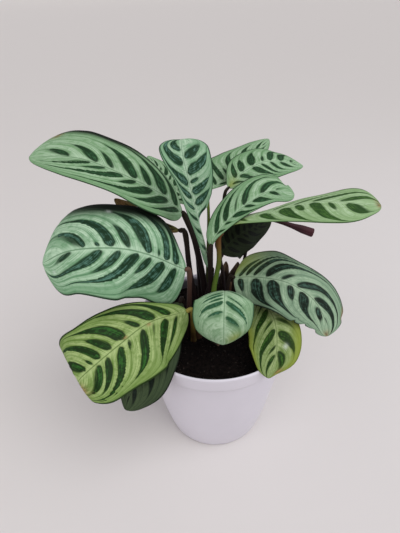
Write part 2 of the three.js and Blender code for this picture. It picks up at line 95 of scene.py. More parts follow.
LEAVES = {
    "upper_left": dict(
        rib=[(-26, 24, 232), (-43, 14, 256), (-84, 4, 284), (-108, 4, 291), (-138, 11, 289)],
        face=[(-0.2, -0.5, 0.85), (-0.3, -0.4, 0.9)],
        left=[14, 23, 21, 17, 8], right=[9, 26, 35, 34, 29],
        turn=[[25, 0], [8, 5]], curl=[-20, -34],
        sweep=[(12, 1.8, 90), (8, 1.3, 45)],
        bands=(
            [(5, 3, 75), (17, 3.4, 72), (29, 3.8, 82), (38.5, 1.9, 48), (47.5, 3.8, 82), (56.5, 1.6, 56),
             (65, 2.8, 76)],
            [(9, 3.4, 90), (20, 3.8, 86), (30, 2.1, 56), (40, 3.9, 76), (52.5, 1.6, 56), (62, 2.8, 70),
             (77, 3, 70)],
        ),
        marks=[("dry", 90, 80, 3, 12), ("dusky_tone_and_painted_shade", 62, 100, 36, 22)],
    ),
    "mid_left": dict(
        rib=[(-24, -11, 197), (-51, -28, 224), (-75, -35, 235), (-108, -34, 233), (-133, -28, 219)],
        face=[(-0.1, -0.8, 0.55), (-0.4, -0.6, 0.6)],
        left=[35, 36, 39, 33, 28], right=[13, 33, 41, 45, 41],
        turn=[[5, 0], [0, 0]], curl=[-25, -55], wave=0.4, lobe=(22, 0),
        sweep=[(11, 1.6, 30), (9, 1.6, 45)],
        bands=(
            [(9, 2.4, 66), (20, 4.2, 74), (29.5, 1.9, 46), (38.5, 4, 84), (49, 2.3, 66), (60, 3.6, 88),
             (78, 3, 55)],
            [(10, 3, 78), (18.5, 4, 80), (24.5, 0.7, 22), (32, 4, 76), (44, 1.9, 56), (53.5, 4, 82),
             (60.5, 1.1, 18), (69.5, 3.2, 80)],
        ),
        marks=[("dusky_tone_and_painted_shade", 46, 96, 52, 30), ("painted_highlight", 92, -38, 1.2, 4), ("painted_highlight", 57, 74, 1.5, 2.5)],
    ),
    "lower_left": dict(
        rib=[(-24, -23, 162), (-53, -44, 170), (-76, -62, 164), (-103, -83, 152), (-106, -84, 145)],
        face=[(-0.1, -0.75, 0.65), (-0.1, -0.85, 0.5), (-0.3, -0.9, 0.3), (-0.7, -0.5, 0)],
        left=[17, 36, 38, 33, 27], right=[8, 14, 28, 33, 37],
        turn=[[8, 4], [-12, 0]], curl=[-12, -10],
        sweep=[(13, 30, 60), (10, 30, 50)],
        bands=(
            [(10.5, 1.4, 70), (21, 4, 66), (31, 0.7, 26), (41, 3.5, 72), (53, 1.1, 20), (60.5, 4, 86),
             (71.5, 2.5, 62), (79.5, 3, 60)],
            [(17, 3.5, 90), (30.5, 4.4, 86), (41.5, 1.8, 42), (55, 4.8, 78), (66, 2.7, 52), (75.5, 3.5, 68),
             (81.5, 0.9, 20), (88, 2.8, 60)],
        ),
        marks=[("dry", 54, 4, 1.8, 3.4), ("dry", 35, -3, 2, 3), ("dry", 97, -40, 3, 24)],
    ),
    "lower_left_back": dict(
        rib=[(-31, -2, 155), (-49, -42, 145), (-67, -68, 128), (-77, -78, 104)],
        face=[(-0.1, -0.45, 0.9), (-0.2, -0.6, 0.7), (-0.3, -0.9, 0.3)],
        left=[8, 14, 24, 25, 13], right=[10, 20, 26, 20, 8],
        turn=[[12, 4], [0, 0]],
    ),
    "centre_upright": dict(
        rib=[(-2, 8, 184), (-8, 0, 220), (-14, -8, 251), (-19, -12, 279), (-22, -8, 294), (-23, 4, 301)],
        face=[(0.3, -0.9, 0.3), (-0.1, -0.9, 0.4)],
        left=[4.5, 5.5, 7, 9.5, 16], right=[3, 5, 12, 19, 17.5],
        turn=[[-20, -20, -15, 0, 0, 0], [-130, -130, -130, -130, -110, -20, 0, 0, 0, 0, 0]], curl=[0, -20],
        ear=(8, 5),
        sweep=[(5, 20, 60), (3, 20, 60)],
        bands=(
            [(20, 1.4, 60), (34, 1.6, 70), (46, 1.6, 76), (55, 1.4, 80), (64, 2.5, 86), (73.5, 3.2, 88),
             (85, 2.9, 92), (92, 1.8, 92)],
            [(48, 2, 70), (58.5, 2.8, 74), (67, 3, 70), (73, 1, 36), (79, 3.5, 76), (88, 2.5, 70)],
        ),
    ),
    "upper_right_back": dict(
        rib=[(0, 48, 243), (18, 66, 247), (38, 90, 256), (60, 113, 266)],
        face=[(0.3, -0.6, 0.7), (0.3, -0.5, 0.8)],
        left=[16, 30, 25, 17, 8], right=[2, 5, 11, 11, 6],
        turn=[[-5, -20], [0, 0]],
    ),
    "upper_right": dict(
        rib=[(15, 40, 247), (28, 52, 256), (49, 66, 260), (70, 78, 255), (91, 90, 246)],
        face=[(0.1, -0.6, 0.8), (0.4, -0.4, 0.8)],
        left=[7, 18, 17, 13, 6], right=[6, 14, 17, 12, 5],
        sweep=[(5, 8, 70), (9, 2.5, 80)],
        bands=(
            [(13, 2.5, 72), (22, 3, 58), (34, 3.5, 66), (46, 1.3, 36), (55, 3.5, 78), (68, 3.5, 78),
             (82, 1.6, 50)],
            [(6, 2, 60), (17, 3, 66), (33, 3.4, 78), (43, 2, 82), (54, 2.2, 74), (68, 3.4, 72),
             (84, 1.6, 50)],
        ),
        marks=[("olive", 4, 0, 8, 60)],
    ),
    "centre_right": dict(
        rib=[(-2, -1, 214), (2, 2, 222), (14, 10, 233), (30, 19, 242), (50, 31, 247), (73, 41, 239)],
        face=[(-0.1, -0.8, 0.6), (0.2, -0.7, 0.7)],
        left=[8, 15, 19, 18, 12], right=[3, 7, 10, 12, 8],
        turn=[[-5, -5], [50, 20]],
        nicks=([(91, 62, 3.6), (80, 8, 2)], []),
        sweep=[(12, 3, 80), (5, 3, 60)],
        bands=(
            [(12, 3.4, 80), (24, 3, 78), (35, 0.9, 60), (45, 3.2, 86), (65, 3.5, 78), (79, 1.4, 34)],
            [(12, 2, 70), (22, 1.4, 60), (33, 4.2, 90), (45, 2, 60), (55, 4.4, 80), (73, 3.4, 70)],
        ),
    ),
    "right_long": dict(
        rib=[(7, 9, 219), (17, 10, 230), (43, 5, 240), (74, 0, 250), (101, -3, 251), (131, -3, 247)],
        face=[(-0.1, -0.3, 0.9), (0.2, -0.3, 0.9)],
        left=[10, 15, 11, 20, 21], right=[3, 9, 20, 24, 11],
        turn=[[-35, -32, -25, -12, 0], [20, 10]], curl=[-10, -20],
        sweep=[(16, 4, 80), (4, 8, 60)],
        bands=(
            [(36, 1.4, 60), (49, 2, 66), (60, 3, 88), (76, 3, 88)],
            [(16, 1.4, 70), (30, 2.8, 80), (43, 4.2, 82), (51, 2, 40), (60.5, 4.8, 82), (69, 1.4, 42),
             (81, 4.2, 80)],
        ),
        marks=[("dry", 99, 10, 2, 50), ("olive", 6, 50, 12, 70)],
    ),
    "right_shaded": dict(
        rib=[(9, 22, 190), (14, 27, 196), (32, 40, 203), (58, 58, 203)],
        face=[(0, -0.7, 0.7), (0.1, -0.7, 0.7)],
        left=[10, 17, 18, 13, 6], right=[15, 16, 16, 11, 5],
    ),
    "right_lower": dict(
        rib=[(18, 3, 177), (33, -6, 184), (56, -26, 193), (76, -35, 184), (86, -44, 171), (89, -52, 156)],
        face=[(0, -0.6, 0.8), (0, -0.7, 0.7), (0.2, -0.95, 0.3)],
        left=[19, 28, 21, 21, 15], right=[22, 24, 26, 25, 12],
        nicks=([(90, 10, 2)], [(76, 9, 1.8), (86, 14, 1.8), (94, 22, 1.6)]),
        sweep=[(12, 2.4, 95), (5.5, 1.6, 45)],
        bands=(
            [(5, 2, 60), (11, 2, 82), (18, 2.6, 90), (30, 4, 86), (43, 1.5, 44), (56, 3.6, 84),
             (71.5, 4, 86), (86, 1.2, 30)],
            [(6, 2.4, 50), (21, 5, 88), (36.5, 5.4, 88), (51, 2.6, 58), (62, 4.8, 88), (79, 4, 66)],
        ),
        marks=[("dry", 99, 5, 3, 30), ("olive", 4, -70, 16, 50), ("dry", 88, -96, 3, 8)],
    ),
    "front_centre": dict(
        rib=[(9, -20, 176), (7, -36, 193), (6, -48, 196), (5, -57, 182), (5, -58, 167), (5, -55, 153)],
        face=[(0, 0.6, 0.8), (0, -0.1, 1), (0, -0.95, 0.1), (0, -1, 0)],
        left=[14, 21, 25, 25, 19], right=[14, 21, 25, 25, 19],
        curl=[-40, -40], wave=0.5,
        sweep=[(10, 2.5, 80), (6, 2.5, 80)],
        bands=(
            [(18, 2, 60), (30, 1.6, 60), (42, 0.8, 70), (48, 2.8, 80), (63, 2.8, 64)],
            [(16, 2, 60), (28, 1.6, 60), (38, 0.9, 60), (41, 1.2, 66), (44.5, 0.7, 50), (48, 2.5, 76),
             (57.5, 2, 60)],
        ),
        marks=[("olive", 90, -40, 8, 26)],
    ),
    "front_right": dict(
        rib=[(39, -8, 160), (45, -24, 164), (49, -40, 160), (48, -58, 146), (40, -71, 130)],
        face=[(-0.1, -0.5, 0.85), (-0.2, -0.8, 0.6), (-0.2, -0.95, 0.1)],
        left=[7, 14, 20, 18, 6], right=[17, 24, 24, 22, 12],
        turn=[[-6, 0], [0, 0]],
        sweep=[(8, 4, 80), (18, 2, 80)],
        bands=(
            [(20, 3.4, 64), (38, 1.5, 70), (54, 4.6, 74), (73, 3.8, 76)],
            [(12, 1.4, 44), (24, 4.4, 82), (38, 1.3, 50), (50, 4.8, 90), (65, 1.5, 44), (76, 3.6, 72)],
        ),
        marks=[("olive", 60, -90, 60, 26), ("olive", 60, 95, 60, 18), ("painted_highlight", 66, -35, 2.4, 9),
               ("dry", 90, -70, 4, 16)],
    ),
    "back_left": dict(
        rib=[(-20, 35, 235), (-38, 55, 250), (-58, 85, 262)],
        face=[(0, -0.5, 0.8), (0, -0.5, 0.8)],
        left=[5, 12, 15, 12, 6], right=[5, 11, 12, 9, 4],
    ),
    "left_back": dict(
        rib=[(-29, 22, 216), (-55, 30, 225), (-86, 42, 239)],
        face=[(0, -0.5, 0.8), (0, -0.5, 0.8)],
        left=[4, 8, 9, 8, 4], right=[2, 3, 3, 5, 3],
        marks=[("dry", 90, 0, 14, 90), ("dry", 50, -80, 60, 40)],
    ),
}
USUAL_TONE = "sage"
TONES = {
    "mid_left": "slate", "right_long": "fresh", "centre_upright": "slate_with_painted_light", "lower_left": "lime",
    "front_right": "moss", "right_lower": "dusky_tone_and_painted_shade", "front_centre": "mist", "lower_left_back": "deep_painted_shade",
    "right_shaded": "shade", "left_back": "olive",
}
# Kinds of mark: dry brown patches, painted shade where a margin curls away or lies under another blade,
# painted highlights, and olive patches.
MARK_KINDS = ("dry", "dusky_tone_and_painted_shade", "painted_highlight", "olive")

# ---- stalks, in millimetres: foot on the soil, way points, radii at foot and blade, colour if not dark ----
SOIL_LEVEL_MM = 121
PULVINUS_MM = 6
STALKS = {
    "upper_left": dict(
        foot=(-5, 10), way=[(-7, 10, 150), (-10, 11, 175), (-13, 12, 195), (-17, 17, 213)], radii=(3.4, 2.3)),
    "mid_left": dict(foot=(-23, -9), way=[(-23.5, -10, 145), (-22, -9, 170)], radii=(2.4, 2), tone="pink"),
    "lower_left": dict(foot=(-20, -16), way=[(-20, -18, 145)], radii=(2.2, 1.8), tone="straw"),
    "lower_left_back": dict(foot=(-24, -2), way=[(-27, -1, 140)], radii=(1.8, 1.5)),
    "centre_upright": dict(foot=(-10, 2), way=[(-8, 4, 150)], radii=(2.1, 1.6)),
    "upper_right_back": dict(
        foot=(-5, 21), way=[(-5, 25, 165), (-3, 34, 222)], radii=(1.8, 1.2), tone="green"),
    "upper_right": dict(foot=(0, 30), way=[(-1, 34, 170), (1, 37, 205), (9, 37, 228)], radii=(1.8, 1.2)),
    "centre_right": dict(
        foot=(-5, -2), way=[(-4, 0, 150), (-3.5, 0, 171), (-3.5, -3, 195)], radii=(2.3, 1.7)),
    "right_long": dict(
        foot=(1, -5), way=[(0, -5, 150), (0, -2, 170), (4.5, 3, 195)], radii=(2.5, 2), tone="bright"),
    "right_shaded": dict(foot=(10, 8), way=[(10, 11, 150), (9, 15, 173)], radii=(1.8, 1.5)),
    "right_lower": dict(foot=(8, 1), way=[(11, 4, 150)], radii=(1.8, 1.4)),
    "front_centre": dict(foot=(2, -12), way=[(5, -14, 145)], radii=(1.7, 1.3)),
    "front_right": dict(foot=(12, -5), way=[(18, -6, 142)], radii=(1.7, 1.3)),
    "back_left": dict(foot=(-12, 16), way=[(-14, 21, 180), (-16, 28, 215)], radii=(1.7, 1.2)),
    "left_back": dict(foot=(-15, 7), way=[(-17, 7, 150), (-20, 7, 170), (-22, 11, 190)], radii=(2.8, 2.2)),
}
ROLLED_LEAF = dict(
    points=[(61, 66, 200.5), (72, 66, 197), (86, 65, 192), (102, 64, 186)], radii=(1.7, 2.2, 2.9, 4.4, 4.8))
ROLLED_STALK = dict(foot=(22, 13), way=[(27, 22, 160), (35, 48, 184), (47, 66, 197)], radii=(1.8, 1.4))
OLD_STALK = dict(foot=(14, 19), way=[(15, 20, 140), (17, 22, 158)], radii=(1.8, 1.3))
OLD_STUMP = dict(points=[(-15, -12, 120.5), (-14.7, -12.3, 126), (-14, -13, 131)], radii=(3.4, 2.6))
DRY_THICKNESS_MM = 0.5
DRY_PIECES = {
    "sheath_dry": dict(
        rib=[(-4, -20, 122), (-1, -23, 125), (4, -25, 123)], face=[(0, -0.6, 0.8), (0.3, -0.6, 0.8)],
        left=[1.2, 2, 2.2, 2, 1.2], right=[1.2, 2, 2.2, 2, 1.2],
        turn=[[20, 20], [20, 20]], curl=[30, 30], wave=0,
    ),
    "bract_left": dict(
        rib=[(9, 24, 121.6), (10, 28, 150), (13, 31, 176)], face=[(0, -1, 0.1), (0, -1, 0.2)],
        left=[4, 6, 6, 5, 3], right=[4, 6, 6, 5, 3],
        turn=[[10, 10], [10, 10]], curl=[40, 40],
    ),
    "bract_right": dict(
        rib=[(19, 30, 121.6), (21, 34, 148), (25, 37, 171)], face=[(0, -1, 0.1), (0, -1, 0.2)],
        left=[5, 7, 8, 7, 3], right=[4, 6, 7, 5, 3],
        turn=[[5, 5], [5, 5]], curl=[30, 40], wave=1.5,
    ),
}

# ---- pot profile, in millimetres: outside from the middle of the foot up, inside down to the floor ----
POT_OUTSIDE = [
    (0, 0), (45, 0), (47, 1), (49.2, 3.6), (50.4, 8), (55, 27), (60.8, 60), (67, 96), (70.2, 115),
    (72.2, 116), (73, 118), (74.8, 130), (75, 131.6), (74.5, 132.6), (73.6, 133),
]
POT_INSIDE = [
    (73, 132.5), (72.4, 131), (70.7, 119), (67.7, 115), (64.3, 96), (58.2, 60), (52.4, 27), (47.2, 9),
    (41.3, 4), (0, 4),
]


# ---------------------------------------------------------------- settings

class PotSettings(bpy.types.PropertyGroup):
    """The pot's finish."""

    colour: bpy.props.FloatVectorProperty(
        name="Colour", description="Colour of the pot", default=(0.685, 0.658, 0.725), min=0, max=1,
        subtype="COLOR", size=3)
    roughness: bpy.props.FloatProperty(
        name="Roughness", description="How dull the pot's surface is", default=0.36, min=0, max=1,
        subtype="FACTOR")


class SoilSettings(bpy.types.PropertyGroup):
    """The soil's crumbs."""

    level: bpy.props.FloatProperty(
        name="Level", description="Height of the soil above the pot's foot", default=0.121,
        unit="LENGTH", precision=4)
    crumb: bpy.props.FloatProperty(
        name="Crumb size", description="Radius of a large crumb", default=0.0017, unit="LENGTH", precision=4)
    density: bpy.props.FloatProperty(
        name="Crumb density", description="Crumbs for each square metre of soil", default=120000, min=0)
    seed: bpy.props.IntProperty(name="Seed", description="Which scatter of crumbs", default=7)


class BladeSettings(bpy.types.PropertyGroup):
    """Sizes shared by the leaf blades."""

    thickness: bpy.props.FloatProperty(
        name="Thickness", description="Thickness of a blade", default=0.0005, unit="LENGTH", precision=5)
    stations: bpy.props.IntProperty(name="Stations", description="Steps along a blade", default=96, min=12)
    columns: bpy.props.IntProperty(
        name="Columns", description="Steps across each half of a blade", default=20, min=4)
    quilting: bpy.props.FloatProperty(
        name="Quilting", description="Height of the ripple between side veins", default=0.00014,
        unit="LENGTH", precision=5)


class StalkSettings(bpy.types.PropertyGroup):
    """Sizes shared by the stalks."""

    sides: bpy.props.IntProperty(name="Sides", description="Faces round a stalk", default=14, min=6)
    joint: bpy.props.FloatProperty(
        name="Joint length", description="Length of the thick joint under a blade", default=0.009,
        unit="LENGTH", precision=4)


class StageSettings(bpy.types.PropertyGroup):
    """The floor, the light and the camera."""

    floor_colour: bpy.props.FloatVectorProperty(
        name="Floor", description="Colour of the floor", default=(0.705, 0.675, 0.66), min=0, max=1,
        subtype="COLOR", size=3)
    light: bpy.props.FloatProperty(
        name="Overhead light", description="Strength of the light from above", default=1.5, min=0)
    window: bpy.props.FloatProperty(
        name="Window light", description="Power of the light at the right", default=2.5, min=0,
        subtype="POWER")
    sky: bpy.props.FloatProperty(
        name="Sky", description="Strength of the light from all round", default=0.46, min=0)


# ---------------------------------------------------------------- nodes and shader maths

def linear(code):
    """A colour written as six hex digits, made linear for the shaders."""
    values = [int(code[i:i + 2], 16) / 255 for i in (0, 2, 4)]
    return (*[v / 12.92 if v <= 0.04045 else ((v + 0.055) / 1.055) ** 2.4 for v in values], 1)


def put(tree, socket, value):
    """Sets a socket to a number, a colour or a colour's hex digits, or links it."""
    if isinstance(value, Value):
        value = value.socket
    if isinstance(value, bpy.types.NodeSocket):
        tree.links.new(value, socket)
    else:
        socket.default_value = linear(value) if isinstance(value, str) else value


def add_node(tree, kind, settings=None, inputs=None):
    """Adds a node, its settings first, then the values or links of its sockets, and gives its outputs."""
    made = tree.nodes.new(kind)
    for key, value in (settings or {}).items():
        setattr(made, key, value)
    for key, value in (inputs or {}).items():
        put(tree, made.inputs[key], value)
    return made.outputs


def both_ways(operation):
    """An operator for Value, and its reflected form."""
    return (lambda self, other: self.paint.math(operation, self, other),
            lambda self, other: self.paint.math(operation, other, self))


class Value:
    """A node socket that takes part in Python sums and products."""

    __add__, __radd__ = both_ways("ADD")
    __sub__, __rsub__ = both_ways("SUBTRACT")
    __mul__, __rmul__ = both_ways("MULTIPLY")
    __pow__, __rpow__ = both_ways("POWER")

    def __init__(self, paint, socket):
        self.paint = paint
        self.socket = socket

    def __abs__(self):
        return self.paint.math("ABSOLUTE", self)


class Paint:
    """A material under construction."""

    def __init__(self, name):
        self.material = bpy.data.materials.new(name)
        self.material.use_nodes = True
        self.tree = self.material.node_tree
        self.shader = self.tree.nodes["Principled BSDF"]

    def node(self, kind, settings=None, inputs=None):
        """The outputs of a new shader node."""
        return add_node(self.tree, "ShaderNode" + kind, settings, inputs)

    def math(self, operation, *values):
        return Value(self, self.node("Math", {"operation": operation}, dict(enumerate(values)))[0])

    def rise(self, value, low, high):
        """0 below low, 1 above high, smooth between."""
        return Value(self, self.node(
            "MapRange", {"interpolation_type": "SMOOTHSTEP"}, {0: value, 1: low, 2: high, 3: 0.0, 4: 1.0})[0])

    def mix(self, factor, first, second):
        """A colour between two colours."""
        return self.node("Mix", {"data_type": "RGBA"}, {0: factor, 6: first, 7: second})[2]

    def coats(self, colour, *coats):
        """A colour with coats over it, each given as (how much of it shows, its colour)."""
        for cover, coat in coats:
            colour = self.mix(cover, colour, coat)
        return colour

    def noise(self, place, detail=2.0, roughness=0.5, scale=1.0, distortion=0.0):
        """Noise at a place, given as a vector or as three values."""
        if isinstance(place, tuple):
            place = self.node("CombineXYZ", {}, dict(enumerate(place)))[0]
        return Value(self, self.node("TexNoise", {}, {
            "Vector": place, "Scale": scale, "Detail": detail, "Roughness": roughness,
            "Distortion": distortion})[0])

    def axes(self, vector):
        """The three numbers of a vector."""
        return [Value(self, socket) for socket in self.node("SeparateXYZ", {}, {0: vector})]

    def map(self, name):
        """The two numbers of a UV map."""
        return self.axes(self.node("UVMap", {"uv_map": name})[0])[:2]

    def channels(self, name):
        """The red, green, blue and alpha of a colour attribute."""
        source = self.node("Attribute", {"attribute_name": name})
        parts = self.node("SeparateColor", {}, {0: source[0]})
        return [Value(self, socket) for socket in (*parts, source[3])]

    def object_place(self):
        return self.node("TexCoord")["Object"]

    def finish(self, bump=None, **inputs):
        """Sets the shader's sockets and gives the material.  The bump is (height, distance, strength)."""
        if bump:
            height, distance, strength = bump
            inputs["Normal"] = self.node(
                "Bump", {}, {"Strength": strength, "Distance": distance, "Height": height})[0]
        for key, value in inputs.items():
            put(self.tree, self.shader.inputs[key.replace("_", " ")], value)
        return self.material


# ---------------------------------------------------------------- materials

BLADE_TONES = {
    # pale ground, its streaks, the dark bands, the painted sheen on the bands
    "sage": ("aac6a6", "658f60", "0c2d13", "37633f"),
    "fresh": ("b2cca4", "7d9f68", "24451a", "4c7334"),
    "slate": ("b9d6b8", "608f66", "0a2a14", "5a8575"),
    # A copy of the slate tone painted lighter, for the upright blade that faces the camera and gets less
    # light from above.
    "slate_with_painted_light": ("b6d0b5", "6c9a72", "0c3019", "648f80"),
    "mist": ("abc6a6", "6f946c", "1f4a2d", "4f8069"),
    # The lower right blade's own greyer tone with near-black bands; the painted shade marks share its name.
    "dusky_tone_and_painted_shade": ("a6bfa0", "6d8a70", "07110a", "446658"),
    # Yellow-green of the lower left blade: partly its own colour, partly painted light shining through it.
    "lime": ("aec283", "617f36", "092506", "316728"),
    "moss": ("a0b27c", "5a7433", "102c06", "3f6926"),
    # Darker copies of the blade tones: painted shade for the blades that lie under others.
    "deep_painted_shade": ("49593c", "2f3d29", "0c150c", "22342a"),
    "shade": ("262f1b", "1b2414", "0a0f07", "141c0f"),
    "olive": ("7d7a48", "5d5a34", "2c2c18", "4a4a30"),
}
UNDER_TONE = ("4a2a33", "6d5a48")
SHADED_UNDER_TONE = ("241a18", "33301f")
STALK_TONES = {
    # foot, middle and top
    # Near black: the stalks' own dark maroon, darkened further as painted shade where they crowd in the
    # middle.
    "dark": ("120b0a", "190f11", "231c14"),
    "green": ("2c2016", "3d4a1e", "66772f"),
    "bright": ("46541f", "527028", "6b4526"),
    "straw": ("382616", "7d6a30", "9c9148"),
    "maroon": ("2c1b18", "3d2429", "4c2a30"),
    "pink": ("211513", "3a2822", "5c443a"),
    "dry": ("3d2a1a", "54392a", "66503a"),
}


def blade_top(tone):
    """The striped upper side: dark bands along the side veins on a pale, finely streaked ground."""
    pale, middle, dark, painted_sheen = BLADE_TONES[tone]
    paint = Paint("blade_top_" + tone)
    vein, width = paint.map("veins")
    along, across = paint.map("blade")
    from_rib = abs(across * 2 - 1)
    dry, dusky_tone_and_painted_shade, painted_highlight, olive = paint.channels("marks")

    streaks = paint.noise((vein * 7, from_rib * 1.6, along), 3.0, 0.6)
    fine = paint.noise((vein * 24, from_rib * 2.4, along * 2), 2.0, 0.55)
    mottle = paint.noise((along * 26, across * 22, 0.7), 3.0, 0.65)
    blotches = paint.noise((along * 6, across * 5, 0.3))
    ragged = paint.noise((vein * 5, from_rib * 5, along * 3), 1.0)

    off_centre = abs(vein - paint.math("ROUND", vein))
    inside = width - off_centre + (ragged - 0.5) * 0.14 * paint.rise(width, 0.03, 0.2)
    band = paint.rise(inside, -0.07, 0.045) * (paint.rise(width, 0.02, 0.13) * 0.67 + 0.3)
    core = paint.rise(inside, 0.02, 0.18)
    halo = paint.rise(inside, -0.24, 0.02)
    rib = 1 - paint.rise(from_rib, 0.006, 0.02)
    beside_rib = 1 - paint.rise(from_rib, 0.02, 0.13)

    ground = paint.coats(
        pale,
        (paint.rise(streaks, 0.4, 0.68) * 0.55, middle),
        (paint.rise(fine, 0.46, 0.68) * 0.8, middle),
        (paint.rise(mottle, 0.46, 0.68) * 0.55, middle),
        (paint.rise(blotches, 0.5, 0.72) * 0.35, middle),
        (paint.rise(from_rib, 0.45, 1.0) * 0.65, middle),
        (halo * (0.45 + paint.rise(streaks, 0.42, 0.6) * 0.4), middle),
        (beside_rib * 0.5, pale),
    )
    # Painted sheen: paler blue-grey streaks inside the bands, standing in for reflections.
    lit = paint.rise(streaks + (fine - 0.5) * 0.7 + (mottle - 0.5) * 0.85, 0.42, 0.74) * core * 0.82
    colour = paint.coats(
        ground,
        (band * (1 - paint.rise(fine, 0.55, 0.75) * (1 - core) * 0.45), paint.mix(lit, dark, painted_sheen)),
        (rib * 0.7, paint.mix(0.4, middle, dark)),
        (paint.rise(from_rib, 0.94, 0.98) * 0.9, dark),
        (olive * 0.7, paint.mix(band, "8b9736", "41521a")),
        (dry * 0.85, paint.mix(paint.rise(mottle, 0.35, 0.7), "a58255", "4d3420")),
        # Painted shade: near black where a margin curls away or lies under another blade.
        (paint.rise(dusky_tone_and_painted_shade, 0.1, 0.8) * 0.96, "070d08"),
        # Painted highlight: pale spots where the blade catches the light.
        (painted_highlight * 0.5, "dfe8e2"),
    )
    rough = 0.57 + (streaks - 0.5) * 0.2 + dry * 0.2 + dusky_tone_and_painted_shade * 0.3 - band * 0.06
    return paint.finish(
        (streaks * 0.5 + fine * 0.3 - rib * 0.5, 0.0004, 0.35),
        Base_Color=colour, Roughness=rough, Specular_IOR_Level=0.1)


def blade_under(tone):
    """The dull maroon underside, with paler veins."""
    ground, vein_colour = SHADED_UNDER_TONE if tone == "shade" else UNDER_TONE
    paint = Paint("blade_under_" + tone)
    vein, width = paint.map("veins")
    along, across = paint.map("blade")
    from_rib = abs(across * 2 - 1)
    streaks = paint.noise((vein * 9, from_rib * 2, along), 3.0, 0.6)
    band = paint.rise(width - abs(vein - paint.math("ROUND", vein)), -0.03, 0.03)
    colour = paint.coats(
        ground,
        (paint.rise(streaks, 0.35, 0.75) * 0.6, vein_colour),
        (band * 0.35, "2a1519"),
        ((1 - paint.rise(from_rib, 0.015, 0.05)) * 0.7, "8a6f50"),
    )
    return paint.finish((streaks, 0.0004, 0.3), Base_Color=colour, Roughness=0.5 + streaks * 0.15)


def stalk_skin(tone):
    """Skin of a stalk: colour changes from foot to blade, with fine lengthwise lines."""
    foot, middle, top = STALK_TONES[tone]
    paint = Paint("stalk_" + tone)
    along, around = paint.map("stalk")
    lines = paint.noise((around * 14, along * 3, 0.5), 3.0, 0.6)
    spots = paint.noise((around * 5, along * 16, 1.5), 2.0, 0.6)
    colour = paint.coats(
        foot,
        (paint.rise(along, 0.1, 0.55), middle),
        (paint.rise(along, 0.6, 0.97), top),
        (paint.rise(lines, 0.45, 0.75) * 0.45, paint.mix(0.5, top, "1a100d")),
        (paint.rise(spots, 0.58, 0.75) * 0.5, "2a1813"),
    )
    return paint.finish(
        (lines, 0.0004, 0.5), Base_Color=colour, Roughness=0.5 + lines * 0.2, Specular_IOR_Level=0.15)


def dry_husk():
    """Withered leaf sheath: brown-black, grey-tan towards its curled top, with lengthwise fibres."""
    paint = Paint("husk_dry")
    along, across = paint.map("blade")
    fibres = paint.noise((across * 26, along * 2.5, 0.2), 3.0, 0.6)
    stains = paint.noise((across * 4, along * 6, 2.2), 2.0, 0.6)
    colour = paint.coats(
        "140f0d",
        (paint.rise(fibres, 0.35, 0.7), "33241b"),
        (paint.rise(along + (stains - 0.5) * 0.3, 0.72, 0.98) * 0.8, "7d6753"),
    )
    return paint.finish(
        (fibres, 0.0006, 0.6), Base_Color=colour, Roughness=0.6 + fibres * 0.25, Specular_IOR_Level=0.2)


def opaque(colour, share=1):
    """A setting's colour, or a darker one with only a share of its light, as the shaders take it."""
    return (*[c * share for c in colour], 1)


def pot_glaze(settings):
    """White moulded plastic: a faint mottle, fine scuffs, and painted shade darkening the wall inside the
    rim.
    """
    paint = Paint("pot_white")
    place = paint.object_place()
    cloud = paint.noise(place, 3.0, 0.5, 14.0)
    grain = paint.noise(place, 2.0, 0.5, 900.0)
    scuff = paint.rise(paint.noise(place, 4.0, 0.7, 60.0, 1.5), 0.66, 0.74)
    x, y, z = paint.axes(place)
    from_axis = (x * x + y * y) ** 0.5
    in_rim = paint.rise(z, 0.1175, 0.1185) * (1 - paint.rise(from_axis, 0.0724, 0.0728))
    # Painted shade: the wall inside the rim, from the soil almost to the rim's top, turns near black, with a
    # wobbly top edge.
    shade_edge_wobble = (paint.noise(place, 3.0, 0.6, 130.0) - 0.5) * 0.006
    rim_painted_shade = in_rim * (1 - paint.rise(z + shade_edge_wobble, 0.1275, 0.1315))
    colour = paint.coats(
        opaque(settings.colour),
        (paint.rise(cloud, 0.35, 0.7) * 0.7, opaque(settings.colour, 0.93)),
        (scuff * 0.12, "9a9088"),
        (rim_painted_shade * 0.93, "120d0b"),
    )
    rough = settings.roughness + (cloud - 0.5) * 0.08 + scuff * 0.15 + rim_painted_shade * 0.4
    return paint.finish((grain, 0.0001, 0.25), Base_Color=colour, Roughness=rough)


def soil_earth():
    """Near-black damp potting soil with brown fibres, darkened further as painted shade under the leaves."""
    paint = Paint("soil_dark")
    place = paint.object_place()
    crumbs = paint.noise(place, 4.0, 0.65, 420.0)
    patches = paint.noise(place, 3.0, 0.5, 60.0)
    specks = paint.noise(place, 2.0, 0.6, 380.0)
    colour = paint.coats(
        "060404",
        (paint.rise(crumbs, 0.35, 0.75), "191210"),
        (paint.rise(patches, 0.5, 0.75) * 0.5, "0a0706"),
        (paint.rise(specks, 0.63, 0.7) * 0.45, "4c4540"),
    )
    return paint.finish(
        (crumbs, 0.0008, 0.7), Base_Color=colour, Roughness=0.85 + crumbs * 0.15, Specular_IOR_Level=0.1)


# ---------------------------------------------------------------- curves

STEPS_PER_SPAN = 24
TANGENT_REACH = 0.03
TIP_SHARE, TIP_HALF_MM, LEAST_HALF_MM = 0.08, 3, 0.7
LONG_SPAN_MM, GENTLE_BEND = 12, 0.9


def spline(a, b, c, d, t):
    """A smooth run from b to c, with a before and d after."""
    return 0.5 * (
        2 * b + (c - a) * t + (2 * a - 5 * b + 4 * c - d) * t * t + (3 * b - a - 3 * c + d) * t ** 3)


def extended(points):
    """Points with one more at each end, straight on."""
    return np.vstack([2 * points[0] - points[1], points, 2 * points[-1] - points[-2]])


def unit(vectors):
    return vectors / np.linalg.norm(vectors, axis=-1, keepdims=True)


